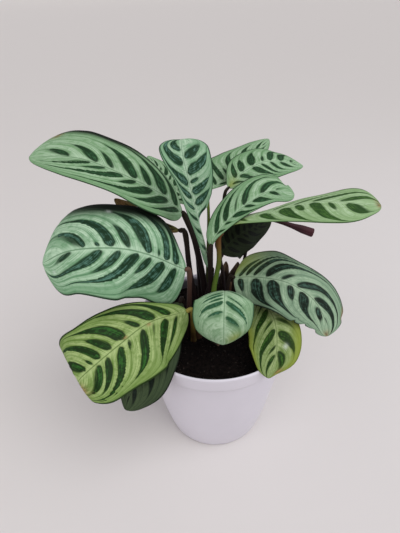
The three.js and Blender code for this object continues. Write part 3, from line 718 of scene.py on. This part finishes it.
def steps(values, u):
    """Values spread evenly from base to tip, read in between."""
    return np.interp(u, np.linspace(0, 1, len(values)), values)


class Path:
    """A smooth path through points, walked by its length."""

    def __init__(self, points):
        given = np.array(points, float)
        every = extended(given)
        dense = [spline(*every[i:i + 4], k / STEPS_PER_SPAN)
                 for i in range(len(given) - 1) for k in range(STEPS_PER_SPAN)]
        self.dense = np.array(dense + [given[-1]])
        self.lengths = np.append(0, np.cumsum(np.linalg.norm(np.diff(self.dense, axis=0), axis=1)))
        self.total = self.lengths[-1]

    def at(self, u):
        s = np.clip(u, 0, 1) * self.total
        return np.stack([np.interp(s, self.lengths, self.dense[:, k]) for k in range(3)], -1)

    def tangent(self, u):
        return unit(self.at(u + TANGENT_REACH) - self.at(u - TANGENT_REACH))


def half_width(widths, u):
    """The half width at u along the midrib; both ends close in a round."""
    values = np.array([-widths[0], 0, *widths, 0, -widths[-1]], float)
    place = np.arccos(np.clip(1 - 2 * u, -1, 1)) / math.pi * (len(widths) + 1)
    i = np.minimum(place.astype(int), len(widths))
    main = spline(values[i], values[i + 1], values[i + 2], values[i + 3], place - i)
    tip = np.where(u > 0.5, TIP_HALF_MM * np.minimum((1 - u) / TIP_SHARE, 1), 0)
    return np.maximum(np.maximum(main, tip), LEAST_HALF_MM)


def lead(beside, ahead):
    """A neighbouring span cut to this span's length, or this span again where the profile turns sharply."""
    length, span = np.linalg.norm(beside), np.linalg.norm(ahead)
    gentle = beside.dot(ahead) > GENTLE_BEND * length * span
    return beside / max(length, 1e-6) * min(length, span) if gentle else ahead


def rounded(profile, per_long_span):
    """More points along a profile in millimetres, kept smooth where it bends gently."""
    points = np.array(profile, float)
    around = extended(points)
    result = []
    for before, start, end, after in zip(around, points, points[1:], around[3:]):
        ahead = end - start
        count = per_long_span if np.linalg.norm(ahead) > LONG_SPAN_MM else 2
        a, d = start - lead(start - before, ahead), end + lead(after - end, ahead)
        result += [tuple(spline(a, start, end, d, k / count)) for k in range(count)]
    return result + [tuple(points[-1])]


# ---------------------------------------------------------------- blades

WAVES = 2.5
LOBE_SHARE, EAR_SHARE = 0.35, 0.2
VEIN_END, VEINS_SETTLED = 1.04, 0.35
BAND_START, BAND_TAPER, WIDEST_BAND = 0.04, 1.14, 0.37
BROAD_BAND, BROAD_TAIL = 0.028, 0.06
LANCE_GAIN, LANCE_RISE, LANCE_FALL = 2.9, 0.55, 0.8
TAIL_SHARE, TAIL_FADE, TAIL_FROM = 0.28, 2.6, 0.75
RIGHT_COUNT = 50  # bands of the right half are counted from here
QUILTS = 24
GROOVE_MM, GROOVE_HALF_MM = 0.35, 0.8
KEEL_MM, KEEL_HALF_MM = 0.9, 0.9
RIB_TAPER, MARGIN_SHARE = 0.75, 0.35
EVEN_STEPS, CROWDING = 0.6, 1.3


def blade_grid(leaf, along, across):
    """Middle points of a blade, in millimetres."""
    rib = Path(leaf["rib"])
    looks = unit(np.array(leaf["face"], float))
    heading = rib.tangent(along)
    up = np.stack([steps(looks[:, k], along) for k in range(3)], -1)
    up = unit(up - (up * heading).sum(-1, keepdims=True) * heading)
    side = np.cross(heading, up)
    grid = np.zeros((len(along), len(across), 3))
    for j, v in enumerate(across):
        half = int(v > 0)
        reach = abs(v) * half_width(leaf["right" if half else "left"], along)
        for place, depth, size in leaf["nicks"][half]:
            reach = reach * (1 - depth / 100 * abs(v) ** 3 * np.exp(-((along * 100 - place) / size) ** 2))
        angle = np.radians(steps(leaf["turn"][half], along) + leaf["curl"][half] * abs(v) / 2)
        ripple = np.sin(2 * math.pi * (WAVES * along + 0.25 * half))
        wave = leaf["wave"] * ripple * v * v * np.sin(math.pi * along)
        swing = abs(v) ** 1.3 * reach / max(reach.max(), 1e-6)
        lobe = leaf["lobe"][half] * swing * np.clip(1 - along / LOBE_SHARE, 0, 1)
        lobe = lobe - leaf["ear"][half] * swing * np.clip(1 - (1 - along) / EAR_SHARE, 0, 1)
        out = np.sign(v) * reach * np.cos(angle)
        rise = reach * np.sin(angle) + wave
        grid[:, j] = rib.at(along) + side * out[:, None] + up * rise[:, None] - heading * lobe[:, None]
    return grid


def vein_field(along, across, sweep):
    """Where on the midrib each point's side vein starts, and how far along that vein the point is."""
    forward, late, at_base = sweep
    starts = np.linspace(-0.6, 0.999, 900)
    limit = VEIN_END * (1 - np.clip(starts, 0, 1) ** late)
    ease = at_base / 100 + (1 - at_base / 100) * np.clip(starts / VEINS_SETTLED, 0, 1)
    places = np.zeros((len(along), len(across)))
    for j, a in enumerate(np.abs(across)):
        x = np.minimum(a / limit, 0.9999)
        ends = starts + forward / 100 * ease * x / (1 - x) ** 0.6
        places[:, j] = np.interp(along, ends, starts)
    reached = np.abs(across)[None, :] / (VEIN_END * (1 - np.clip(places, 0, 0.999) ** late))
    return places, np.clip(reached, 0, 1)


def band_map(bands, places, reached):
    """For each point: a count that is whole on a band's middle line, and the band's half width in it."""
    centres, halves, reaches = np.array(bands).T / 100
    knots = np.concatenate([[centres[0] - 0.6, centres[0] - 0.1], centres, [max(1.04, centres[-1] + 0.1)]])
    counts = np.concatenate([[-6, -1], np.arange(len(centres) + 1)])
    count = np.interp(places, knots, counts)
    slope = np.diff(counts) / np.diff(knots)
    here = slope[np.clip(np.searchsorted(knots, places) - 1, 0, len(slope) - 1)]
    index = np.clip(np.round(count).astype(int), 0, len(bands) - 1)
    half, reach = halves[index], reaches[index]
    x = np.clip((reached - BAND_START) / (reach * BAND_TAPER - BAND_START), 0, None)
    lance = half * LANCE_GAIN * np.minimum(x, 1) ** LANCE_RISE * (1 - np.minimum(x, 1)) ** LANCE_FALL
    least = np.where(half > BROAD_BAND, BROAD_TAIL, 0)
    fading = TAIL_SHARE * np.exp(-TAIL_FADE * (x - TAIL_FROM))
    tail = np.where(x > 0.5, half * np.maximum(fading, least), 0)
    real = (count > -0.5) & (count < len(bands) - 0.5)
    return count, np.where(real, np.minimum(np.maximum(lance, tail) * here, WIDEST_BAND), 0)


def mark_map(marks, along, across):
    """The strength of each kind of mark at each point of a blade, 0 to 1."""
    result = np.zeros((len(along), len(across), len(MARK_KINDS)))
    for kind, u, v, size_u, size_v in marks:
        away = ((along[:, None] * 100 - u) / size_u) ** 2 + ((across[None, :] * 100 - v) / size_v) ** 2
        layer = result[:, :, MARK_KINDS.index(kind)]
        np.maximum(layer, np.exp(-away), out=layer)
    return result


def blade_faces(rows, columns):
    """The faces of two sheets, one over the other, joined at their margins, and which face has which skin."""
    count = rows * columns
    faces, skins = [], []
    for i in range(rows - 1):
        for j in range(columns - 1):
            a = i * columns + j
            faces.append((a, a + 1, a + columns + 1, a + columns))
            faces.append((count + a, count + a + columns, count + a + columns + 1, count + a + 1))
            skins += [0, 1]
    for j in range(columns - 1):
        end = (rows - 1) * columns + j
        faces += [(j, count + j, count + j + 1, j + 1), (end, end + 1, count + end + 1, count + end)]
        skins += [1, 1]
    for i in range(rows - 1):
        left = i * columns
        right = left + columns - 1
        faces += [(left, left + columns, count + left + columns, count + left),
                  (right, count + right, count + right + columns, right + columns)]
        skins += [0, 0]
    return faces, skins


def make_blade(name, leaf, settings, top, under, thickness_mm=None):
    """A closed blade with its maps: place on the blade, veins, and marks."""
    leaf = {**USUAL_LEAF, **leaf}
    t = np.linspace(0, 1, settings.stations + 1)
    along = EVEN_STEPS * t + (1 - EVEN_STEPS) * (0.5 - 0.5 * np.cos(math.pi * t))
    spread = np.linspace(0, 1, settings.columns + 1) ** CROWDING
    across = np.concatenate([-spread[:0:-1], spread])
    grid = blade_grid(leaf, along, across)
    normal = unit(np.cross(np.gradient(grid, axis=1), np.gradient(grid, axis=0)))

    fields = [vein_field(along, across, sweep) for sweep in leaf["sweep"]]
    places = np.where(across[None, :] > 0, fields[1][0], fields[0][0])
    from_rib = np.abs(across)[None, :]
    inner = np.clip(from_rib * 6, 0, 1) * np.clip((1 - from_rib) * 5, 0, 1)
    quilt = np.sin(2 * math.pi * places * QUILTS) * inner * settings.quilting / MM
    widest = np.maximum(half_width(leaf["left"], along), half_width(leaf["right"], along))
    away_mm = from_rib * widest[:, None]
    taper = (1 - RIB_TAPER * along)[:, None]
    groove = GROOVE_MM * np.exp(-(away_mm / GROOVE_HALF_MM) ** 2) * taper
    keel = KEEL_MM * np.exp(-(away_mm / KEEL_HALF_MM) ** 2) * taper
    half = (thickness_mm or settings.thickness / MM) / 2
    thin = half * (MARGIN_SHARE + (1 - MARGIN_SHARE) * np.clip((1 - from_rib) * 8, 0, 1))
    upper = grid + normal * (quilt - groove + thin)[:, :, None]
    lower = grid + normal * (quilt - thin - keel)[:, :, None]

    rows, columns = grid.shape[:2]
    faces, skins = blade_faces(rows, columns)
    vertices = np.concatenate([upper.reshape(-1, 3), lower.reshape(-1, 3)]) * MM
    made = new_object(name, vertices, faces, [top, under], skins)

    row, column = np.divmod(np.concatenate(faces) % (rows * columns), columns)
    on_right = np.repeat(column.reshape(-1, 4).mean(1) > columns // 2, 4)
    set_corners(made.data, "blade", np.stack([along[row], 0.5 + 0.5 * across[column]], -1))
    maps = [np.stack(band_map(bands, *field), -1) for bands, field in zip(leaf["bands"], fields)]
    veins = np.where(on_right[:, None], maps[1][row, column] + [RIGHT_COUNT, 0], maps[0][row, column])
    set_corners(made.data, "veins", veins)
    marks = made.data.color_attributes.new("marks", "FLOAT_COLOR", "POINT")
    flat = mark_map(leaf["marks"], along, across).ravel()
    marks.data.foreach_set("color", np.concatenate([flat, flat]).astype(np.float32))
    return made


# ---------------------------------------------------------------- meshes

TUBE_STATIONS = 48
STALK_SINK_MM, STALK_STRAIGHT_MM = 1, 7


def new_object(name, vertices, faces, materials, indices=None):
    """A smooth mesh object at the origin."""
    mesh = bpy.data.meshes.new(name)
    mesh.from_pydata([tuple(map(float, v)) for v in vertices], [], faces)
    for material in materials:
        mesh.materials.append(material)
    mesh.polygons.foreach_set("use_smooth", [True] * len(mesh.polygons))
    if indices is not None:
        mesh.polygons.foreach_set("material_index", indices)
    return placed(name, mesh)


def placed(name, data):
    """A new object in the scene."""
    made = bpy.data.objects.new(name, data)
    bpy.context.scene.collection.objects.link(made)
    return made


def set_corners(mesh, name, values):
    """Writes a UV map given as one pair for each corner."""
    layer = mesh.uv_layers.new(name=name)
    layer.data.foreach_set("uv", np.asarray(values, np.float32).ravel())


def circle(sides):
    """Angles round a full turn."""
    return np.linspace(0, 2 * math.pi, sides, endpoint=False)


def wall(along, sides):
    """The faces between rings of points, and each corner's place along and around."""
    faces, maps = [], []
    for i in range(len(along) - 1):
        for k in range(sides):
            a, b = i * sides + k, i * sides + (k + 1) % sides
            low, high, start, end = along[i], along[i + 1], k / sides, (k + 1) / sides
            faces.append((a, b, b + sides, a + sides))
            maps += [(low, start), (low, end), (high, end), (high, start)]
    return faces, maps


def closed_wall(along, sides):
    """A wall closed at both ends by triangles round two points that come after the rings."""
    faces, maps = wall(along, sides)
    last, low = (len(along) - 1) * sides, len(along) * sides
    for k in range(sides):
        n = (k + 1) % sides
        faces += [(low, n, k), (low + 1, last + k, last + n)]
        maps += [(0, 0.5), (0, n / sides), (0, k / sides), (1, 0.5), (1, k / sides), (1, n / sides)]
    return faces, maps


def rings(centres, side, other, radii, angles):
    """Points round each centre."""
    return (centres[:, None] + side[:, None] * (radii * np.cos(angles))[:, :, None]
            + other[:, None] * (radii * np.sin(angles))[:, :, None])


def tube(name, line, radius, sides, material):
    """A closed round tube along a path, with a map of place along and around."""
    u = np.linspace(0, 1, TUBE_STATIONS + 1)
    centres, heading = line.at(u), line.tangent(u)
    side = np.zeros_like(heading)
    start = np.array([1.0, 0.0, 0.0])
    for i, ahead in enumerate(heading):
        start = start - ahead * start.dot(ahead)
        start /= np.linalg.norm(start)
        side[i] = start
    points = rings(centres, side, np.cross(heading, side), radius(u)[:, None], circle(sides))
    faces, maps = closed_wall(u, sides)
    vertices = np.concatenate([points.reshape(-1, 3), centres[:1], centres[-1:]]) * MM
    made = new_object(name, vertices, faces, [material])
    set_corners(made.data, "stalk", maps)
    return made


def tapered(radii):
    """The radius of a stalk that changes evenly from foot to end."""
    foot, end = radii
    return lambda u: foot + (end - foot) * u


def stalk_line(stalk, end=None, heading=None):
    """The path of a stalk from under the soil's surface to its blade."""
    x, y = stalk["foot"]
    points = [(x, y, SOIL_LEVEL_MM - STALK_SINK_MM), (x, y, SOIL_LEVEL_MM + STALK_STRAIGHT_MM), *stalk["way"]]
    if end is not None:
        points += [tuple(end - heading * PULVINUS_MM), tuple(end)]
    return Path(points)


def turned(name, profile, sides, material):
    """A closed turned body from a profile in millimetres that starts and ends on the axis."""
    inner = profile[1:-1]
    vertices = [(r * MM * math.cos(a), r * MM * math.sin(a), z * MM) for r, z in inner for a in circle(sides)]
    vertices += [(0, 0, profile[0][1] * MM), (0, 0, profile[-1][1] * MM)]
    return new_object(name, vertices, closed_wall(inner, sides)[0], [material])


def disc(count, sides):
    """The faces of a round sheet: a middle point, then rings of points."""
    faces = [(0, 1 + k, 1 + (k + 1) % sides) for k in range(sides)]
    for k in range(sides):
        n = (k + 1) % sides
        faces += [(1 + i * sides + k, 1 + (i + 1) * sides + k, 1 + (i + 1) * sides + n, 1 + i * sides + n)
                  for i in range(count - 1)]
    return faces


def stand_for(made, slot, *nodes):
    """Says which body a piece rides on and which nodes it stands for, if any.  Its slot is not used."""
    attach(made, BODY)
    if nodes:
        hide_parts(*nodes)


# ---------------------------------------------------------------- operators

POT_STEPS, POT_SIDES = 6, 160
SOIL_EDGE_MM, SOIL_FOOT_MM = 70.6, 43
SOIL_RINGS, SOIL_SIDES = 26, 96
SOIL_LUMPS, SOIL_SINK = ((60, 0.0016), (190, 0.0008)), 0.0006
CRUMB_GRAIN, CRUMB_SHIFT = 700, 0.0016
BLADE_START = 0.012
SHEATH_MM, SHEATH_SHARE, SWELL_MM = 0.9, 0.28, 0.35
CLOSED_FROM, CLOSED_SHARE = 0.985, 0.75
ROLL_STATIONS, ROLL_STEPS = 40, 44
ROLL_TURNS, ROLL_CORE, ROLL_INSIDE = 1.35, 0.78, 0.9
FLOOR_REACH, FLOOR_RISE, FLOOR_SIDES = 20.0, 4.0, 64
FLOOR_PROFILE = ((1, 0), (1.2, 0.1), (1.35, 0.4), (1.4, 1))
LIGHT_AIM = (0, 0, 0.15)
CAMERA_PLACE = (-0.012, -0.287, 0.389)
CAMERA_PITCH, CAMERA_ROLL = 34.4, -1.7
CAMERA_LENS, SENSOR = 27.15, 36.0


class PLANT_OT_pot(bpy.types.Operator):
    """Make the white pot"""

    bl_idname = "plant.pot"
    bl_label = "Pot"

    def execute(self, context):
        profile = rounded(POT_OUTSIDE, POT_STEPS) + rounded(POT_INSIDE, POT_STEPS)
        pot = turned("pot_shell", profile, POT_SIDES, pot_glaze(context.scene.plant_pot))
        stand_for(pot, "pot", "pot")
        return {"FINISHED"}


def crumb_tree(material):
    """Scatters crumbs of random size and turn over a surface."""
    tree = bpy.data.node_groups.new("soil_crumbs", "GeometryNodeTree")
    for name, way, kind in (
        ("Geometry", "INPUT", "Geometry"), ("Density", "INPUT", "Float"), ("Crumb", "INPUT", "Float"),
        ("Seed", "INPUT", "Int"), ("Geometry", "OUTPUT", "Geometry"),
    ):
        tree.interface.new_socket(name, in_out=way, socket_type="NodeSocket" + kind)

    def node(kind, settings=None, inputs=None):
        return add_node(tree, kind, settings, inputs)

    given = node("NodeGroupInput")
    points = node("GeometryNodeDistributePointsOnFaces", {"distribute_method": "RANDOM"}, {
        "Mesh": given["Geometry"], "Density": given["Density"], "Seed": given["Seed"]})["Points"]
    ball = node("GeometryNodeMeshIcoSphere", {}, {"Subdivisions": 1})["Mesh"]
    turn = node("FunctionNodeRandomValue", {"data_type": "FLOAT_VECTOR"}, {
        1: (6.28, 6.28, 6.28), "Seed": 3})["Value"]
    size = node("FunctionNodeRandomValue", {"data_type": "FLOAT_VECTOR"}, {
        0: (0.15, 0.15, 0.12), 1: (1.0, 0.8, 0.6), "Seed": 5})["Value"]
    scale = node("ShaderNodeVectorMath", {"operation": "SCALE"}, {0: size, "Scale": given["Crumb"]})[0]
    balls = node("GeometryNodeInstanceOnPoints", {}, {
        "Points": points, "Instance": ball, "Rotation": turn, "Scale": scale})["Instances"]
    real = node("GeometryNodeRealizeInstances", {}, {"Geometry": balls})["Geometry"]
    place = node("GeometryNodeInputPosition")["Position"]
    rough = node("ShaderNodeTexNoise", {}, {"Vector": place, "Scale": CRUMB_GRAIN})["Color"]
    centred = node("ShaderNodeVectorMath", {"operation": "SUBTRACT"}, {0: rough, 1: (0.5, 0.5, 0.5)})[0]
    shift = node("ShaderNodeVectorMath", {"operation": "SCALE"}, {0: centred, "Scale": CRUMB_SHIFT})[0]
    moved = node("GeometryNodeSetPosition", {}, {"Geometry": real, "Offset": shift})["Geometry"]
    skinned = node("GeometryNodeSetMaterial", {}, {"Geometry": moved, "Material": material})["Geometry"]
    node("NodeGroupOutput", {}, {"Geometry": skinned})
    return tree


class PLANT_OT_soil(bpy.types.Operator):
    """Make the soil and its crumbs"""

    bl_idname = "plant.soil"
    bl_label = "Soil"

    def execute(self, context):
        settings = context.scene.plant_soil
        earth = soil_earth()
        sides = SOIL_SIDES
        vertices = [(0, 0, settings.level)]
        for i in range(1, SOIL_RINGS + 1):
            r = SOIL_EDGE_MM * MM * i / SOIL_RINGS
            for k in range(sides):
                a = 2 * math.pi * k / sides
                spot = Vector((r * math.cos(a), r * math.sin(a), 0))
                lump = sum(noise.noise(spot * scale) * height for scale, height in SOIL_LUMPS) - SOIL_SINK
                vertices.append((spot.x, spot.y, settings.level + lump))
        base = len(vertices)
        outer = base - sides
        sheet = new_object("soil_sheet", vertices[:outer], disc(SOIL_RINGS - 1, sides), [earth])

        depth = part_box("soil")[0].z + MM
        foot = SOIL_FOOT_MM * MM
        vertices += [(foot * math.cos(a), foot * math.sin(a), depth) for a in circle(sides)]
        vertices.append((0, 0, depth))
        faces = disc(SOIL_RINGS, sides)
        for k in range(sides):
            n = (k + 1) % sides
            faces += [(outer + k, base + k, base + n, outer + n), (base + sides, base + n, base + k)]
        stand_for(new_object("soil_bed", vertices, faces, [earth]), "soil", "soil")

        tree = crumb_tree(earth)
        modifier = sheet.modifiers.new("crumbs", "NODES")
        modifier.node_group = tree
        ids = {item.name: item.identifier for item in tree.interface.items_tree if item.in_out == "INPUT"}
        modifier[ids["Density"]] = settings.density
        modifier[ids["Crumb"]] = settings.crumb
        modifier[ids["Seed"]] = settings.seed
        mesh = bpy.data.meshes.new_from_object(sheet.evaluated_get(context.evaluated_depsgraph_get()))
        mesh.name = "soil_crumbs"
        bpy.data.objects.remove(sheet)
        stand_for(placed("soil_crumbs", mesh), "soil")
        return {"FINISHED"}


class PLANT_OT_blades(bpy.types.Operator):
    """Make the leaf blades"""

    bl_idname = "plant.blades"
    bl_label = "Leaf blades"

    def execute(self, context):
        skins = {}
        for name, leaf in LEAVES.items():
            tone = TONES.get(name, USUAL_TONE)
            if tone not in skins:
                skins[tone] = blade_top(tone), blade_under(tone)
            made = make_blade("blade_" + name, leaf, context.scene.plant_blades, *skins[tone])
            stand_for(made, "leaf_lime" if tone == "lime" else "leaf_green", "leaf_" + name)
        return {"FINISHED"}


class PLANT_OT_stalks(bpy.types.Operator):
    """Make the leaf stalks, each with its joint under the blade"""

    bl_idname = "plant.stalks"
    bl_label = "Leaf stalks"

    def execute(self, context):
        settings = context.scene.plant_stalks
        skins = {}
        for name, stalk in STALKS.items():
            tone = stalk.get("tone", "dark")
            if tone not in skins:
                skins[tone] = stalk_skin(tone)
            rib = Path(LEAVES[name]["rib"])
            line = stalk_line(stalk, rib.at(BLADE_START), rib.tangent(0))
            joint = settings.joint / MM / line.total

            def radius(u, plain=tapered(stalk["radii"]), joint=joint):
                sheath = SHEATH_MM * np.exp(-(u / SHEATH_SHARE) ** 2)
                swell = SWELL_MM * np.clip(1 - np.abs(u - (1 - joint)) / joint, 0, 1) ** 0.6
                return (plain(u) + sheath + swell) * np.where(u > CLOSED_FROM, CLOSED_SHARE, 1)

            made = tube("stem_" + name, line, radius, settings.sides, skins[tone])
            stand_for(made, "stalk_green" if name == "right_long" else "stalk_dark", "stalk_" + name)
        return {"FINISHED"}


class PLANT_OT_rolled_leaf(bpy.types.Operator):
    """Make the young leaf that is still rolled up"""

    bl_idname = "plant.rolled_leaf"
    bl_label = "Rolled leaf"

    def execute(self, context):
        sides = context.scene.plant_stalks.sides
        line = Path(ROLLED_LEAF["points"])
        u = np.linspace(0, 1, ROLL_STATIONS + 1)
        centres, heading = line.at(u), line.tangent(u)
        side = unit(np.cross(heading, [0, 0, 1]))
        other = np.cross(heading, side)
        angle = np.linspace(0, 2 * math.pi * ROLL_TURNS, ROLL_STEPS + 1)
        radii = steps(ROLLED_LEAF["radii"], u)[:, None] * np.linspace(1, ROLL_CORE, ROLL_STEPS + 1)[None, :]
        outside, inside = [rings(centres, side, other, radii * share, angle) for share in (1.0, ROLL_INSIDE)]
        points = np.concatenate([outside, inside[:, ::-1]], axis=1)
        around = points.shape[1]
        faces, maps = wall(u, around)
        last = ROLL_STATIONS * around
        for k in range(ROLL_STEPS):
            inner, after = around - 1 - k, around - 2 - k
            faces += [(inner, after, k + 1, k), (last + k, last + k + 1, last + after, last + inner)]
            share = k / (ROLL_STEPS + 1)
            maps += [(0, share)] * 4 + [(1, share)] * 4
        made = new_object("rolled_blade", points.reshape(-1, 3) * MM, faces, [stalk_skin("maroon")])
        set_corners(made.data, "stalk", maps)
        stand_for(made, "leaf_maroon", "leaf_rolled")
        joint = stalk_line(ROLLED_STALK, line.at(0.01), line.tangent(0))
        stem = tube("stem_rolled", joint, tapered(ROLLED_STALK["radii"]), sides, stalk_skin("dark"))
        stand_for(stem, "stalk_dark", "stalk_rolled")
        return {"FINISHED"}


class PLANT_OT_old_growth(bpy.types.Operator):
    """Make the old stalk, the stump, the dry sheath and the withered bracts"""

    bl_idname = "plant.old_growth"
    bl_label = "Old growth"

    def execute(self, context):
        sides = context.scene.plant_stalks.sides
        skin, husk = stalk_skin("dry"), dry_husk()
        old = tube("stem_old", stalk_line(OLD_STALK), tapered(OLD_STALK["radii"]), sides, skin)
        stand_for(old, "dry_growth", "stalk_old")
        stump = tube("stump", Path(OLD_STUMP["points"]), tapered(OLD_STUMP["radii"]), sides, skin)
        stand_for(stump, "dry_growth", "stump_old")
        for name, piece in DRY_PIECES.items():
            made = make_blade("husk_" + name, piece, context.scene.plant_blades, husk, husk, DRY_THICKNESS_MM)
            stand_for(made, "dry_growth", name)
        return {"FINISHED"}


class PLANT_OT_stage(bpy.types.Operator):
    """Make the floor, the light and the camera"""

    bl_idname = "plant.stage"
    bl_label = "Stage"

    def execute(self, context):
        settings = context.scene.plant_stage
        scene = context.scene
        paint = Paint("floor_pale")
        cloud = paint.noise(paint.object_place(), 4.0, 0.6, 9.0)
        pale, soft = opaque(settings.floor_colour), opaque(settings.floor_colour, 0.9)
        paint.finish(Base_Color=paint.mix(cloud * 0.12, pale, soft), Roughness=0.8)
        low = CAD_BOX[0][2]
        corners = [(r * FLOOR_REACH * math.cos(a), r * FLOOR_REACH * math.sin(a), low + rise * FLOOR_RISE)
                   for r, rise in FLOOR_PROFILE for a in circle(FLOOR_SIDES)]
        faces = [face[::-1] for face in wall(FLOOR_PROFILE, FLOOR_SIDES)[0]]
        floor = new_object("floor", corners, [tuple(range(FLOOR_SIDES)), *faces], [paint.material])

        scene.world = scene.world or bpy.data.worlds.new("World")
        scene.world.use_nodes = True
        sky = scene.world.node_tree.nodes["Background"]
        sky.inputs["Color"].default_value = (0.98, 0.96, 1.0, 1)
        sky.inputs["Strength"].default_value = settings.sky
        for name, kind, place, size, power, colour in (
            ("overhead", "SUN", (0.3, -0.45, 1.0), math.radians(50), settings.light, (1.0, 0.985, 0.965)),
            ("window", "AREA", (1.0, -0.1, 0.6), 0.7, settings.window, (0.84, 0.88, 1.0)),
            ("room", "AREA", (-0.9, -0.7, 0.45), 0.9, settings.window * 0.9, (0.96, 0.95, 1.0)),
        ):
            lamp = bpy.data.lights.new(name, kind)
            setattr(lamp, "angle" if kind == "SUN" else "size", size)
            lamp.energy = power
            lamp.color = colour
            holder = placed(name, lamp)
            holder.location = place
            aim = Vector(LIGHT_AIM) - Vector(place)
            holder.rotation_euler = aim.to_track_quat("-Z", "Y").to_euler()

        data = bpy.data.cameras.new("camera")
        data.lens = CAMERA_LENS
        data.sensor_width = SENSOR
        camera = placed("camera", data)
        pitch = Matrix.Rotation(math.radians(90 - CAMERA_PITCH), 4, "X")
        roll = Matrix.Rotation(math.radians(CAMERA_ROLL), 4, "Z")
        camera.matrix_world = Matrix.Translation(CAMERA_PLACE) @ pitch @ roll
        scene.camera = camera
        scene.view_settings.view_transform = "Standard"
        return {"FINISHED"}


class PLANT_PT_sidebar(bpy.types.Panel):
    """The plant's pieces and their settings"""

    bl_idname = "PLANT_PT_sidebar"
    bl_label = "Potted prayer plant"
    bl_space_type = "VIEW_3D"
    bl_region_type = "UI"
    bl_category = "Plant"

    def draw(self, context):
        for operator, group in PIECES:
            box = self.layout.box()
            box.operator(operator)
            settings = getattr(context.scene, group)
            for name in settings.bl_rna.properties.keys():
                if name not in ("rna_type", "name"):
                    box.prop(settings, name)


PIECES = (
    ("plant.stage", "plant_stage"),
    ("plant.pot", "plant_pot"),
    ("plant.soil", "plant_soil"),
    ("plant.blades", "plant_blades"),
    ("plant.stalks", "plant_stalks"),
    ("plant.rolled_leaf", "plant_stalks"),
    ("plant.old_growth", "plant_stalks"),
)
GROUPS = {
    "plant_pot": PotSettings,
    "plant_soil": SoilSettings,
    "plant_blades": BladeSettings,
    "plant_stalks": StalkSettings,
    "plant_stage": StageSettings,
}
CLASSES = (
    *GROUPS.values(), PLANT_OT_pot, PLANT_OT_soil, PLANT_OT_blades, PLANT_OT_stalks, PLANT_OT_rolled_leaf,
    PLANT_OT_old_growth, PLANT_OT_stage, PLANT_PT_sidebar,
)


def register():
    for cls in CLASSES:
        bpy.utils.register_class(cls)
    for name, group in GROUPS.items():
        setattr(bpy.types.Scene, name, bpy.props.PointerProperty(type=group))


def unregister():
    for name in GROUPS:
        delattr(bpy.types.Scene, name)
    for cls in reversed(CLASSES):
        bpy.utils.unregister_class(cls)


def main():
    register()
    for operator, _ in PIECES:
        group, name = operator.split(".")
        getattr(getattr(bpy.ops, group), name)()
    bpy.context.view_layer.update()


if __name__ == "__main__":
    main()
